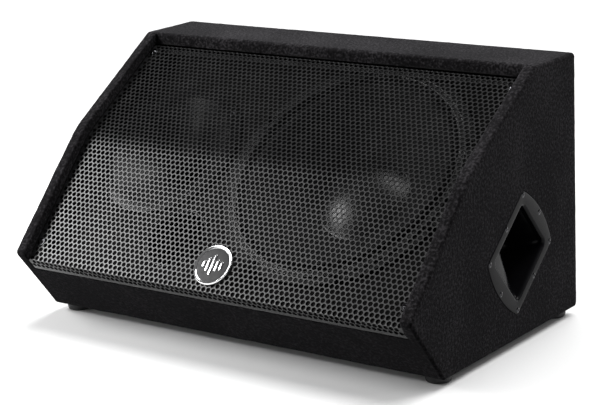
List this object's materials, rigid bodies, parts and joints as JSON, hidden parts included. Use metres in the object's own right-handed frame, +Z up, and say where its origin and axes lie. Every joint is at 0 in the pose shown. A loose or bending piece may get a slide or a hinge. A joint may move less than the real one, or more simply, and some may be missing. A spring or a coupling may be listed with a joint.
{
  "type": "stage monitor wedge",
  "caption": "Carpeted stage monitor wedge with a bent perforated steel grille over a cone driver, a horn and a port, recessed side handles and rubber feet.",
  "frame": {"origin": "on the floor under the middle of the cabinet's bounding box", "axes": "+X to the right of someone facing the grille, +Y to the rear, +Z up; the grille faces -Y and +Z"},
  "size_m": [0.7034, 0.4378, 0.388],
  "materials": {
    "plywood": "birch plywood, sprayed matt black",
    "batten_wood": "bare planed softwood",
    "carpet": "charcoal needle-punched cabinet carpet",
    "grille_steel": "perforated steel with satin charcoal powder coat",
    "screw_steel": "bright zinc-plated steel",
    "black_screw": "blackened steel",
    "badge_ring": "polished metal ring",
    "badge_face": "dark grey brushed face",
    "foot_rubber": "black moulded rubber",
    "handle_plastic": "black moulded handle with a fine grain",
    "port_plastic": "black moulded port",
    "horn_plastic": "black moulded horn",
    "plate_steel": "zinc-plated turned steel",
    "ferrite": "dark ferrite",
    "phase_plug": "moulded phase plug",
    "diaphragm_metal": "thin formed metal dome",
    "suspension": "resin-treated cloth",
    "cover_plastic": "moulded rear cover",
    "basket_paint": "cast frame, black paint",
    "surround_cloth": "coated pleated cloth",
    "gasket": "pressed paper and rubber gasket",
    "cone_paper": "ribbed black paper cone",
    "cap_paper": "doped black dust cap",
    "coil_copper": "copper winding on a thin former",
    "terminal_red": "moulded terminal block with tabs",
    "dish_paint": "pressed steel, black powder coat",
    "socket_blue": "moulded loudspeaker socket",
    "socket_black": "moulded jack socket",
    "board_green": "circuit board",
    "capacitor": "film capacitor sleeve",
    "resistor": "ceramic power resistor",
    "wadding": "grey acoustic wadding",
    "lead_rubber": "insulated lead"
  },
  "bodies": {
    "cabinet": {"side_panel_right": "plywood", "side_panel_left": "plywood", "top_panel": "plywood", "rear_panel": "plywood", "bottom_panel": "plywood", "lower_front_panel": "plywood", "baffle": "plywood", "glue_battens": "batten_wood", "grille_blocks": "plywood", "carpet_right": "carpet", "carpet_left": "carpet", "carpet_wrap": "carpet", "grille": "grille_steel", "grille_screws": "screw_steel", "badge_ring": "badge_ring", "badge_face": "badge_face", "feet": "foot_rubber", "foot_screws": "screw_steel", "handle_right": "handle_plastic", "handle_left": "handle_plastic", "handle_screws_right": "screw_steel", "handle_screws_left": "screw_steel", "port_tube": "port_plastic", "horn": "horn_plastic", "horn_screws": "screw_steel", "hf_front_plate": "plate_steel", "hf_phase_plug": "phase_plug", "hf_magnet": "ferrite", "hf_rear_plate": "plate_steel", "hf_suspension": "suspension", "hf_back_cover": "cover_plastic", "woofer_basket": "basket_paint", "woofer_surround": "surround_cloth", "woofer_gasket": "gasket", "woofer_spider": "suspension", "woofer_top_plate": "plate_steel", "woofer_magnet": "ferrite", "woofer_back_plate": "plate_steel", "woofer_terminals": "terminal_red", "woofer_bolts": "black_screw", "woofer_t_nuts": "screw_steel", "input_dish": "dish_paint", "input_dish_screws": "screw_steel", "speaker_sockets": "socket_blue", "jack_sockets": "socket_black", "crossover_board": "board_green", "crossover_coils": "coil_copper", "crossover_capacitors": "capacitor", "crossover_resistors": "resistor", "crossover_spacers": "screw_steel", "rear_wadding": "wadding", "input_lead": "lead_rubber", "woofer_lead": "lead_rubber", "horn_lead": "lead_rubber"},
    "cone_assembly": {"woofer_cone": "cone_paper", "dust_cap": "cap_paper", "voice_coil": "coil_copper"},
    "hf_diaphragm_body": {"hf_diaphragm": "diaphragm_metal"}
  },
  "joints": [
    {"name": "cone_stroke", "type": "slide", "parent": "cabinet", "child": "cone_assembly", "axis": [0, -0.6452, 0.764], "range_m": [-0.006, 0.006], "stiffness_N_per_m": 6000, "deforming": ["woofer_surround", "woofer_spider"]},
    {"name": "hf_diaphragm_stroke", "type": "slide", "parent": "cabinet", "child": "hf_diaphragm_body", "axis": [0, -0.6452, 0.764], "range_m": [-0.0004, 0.0004], "stiffness_N_per_m": 500, "deforming": ["hf_suspension"]}
  ]
}
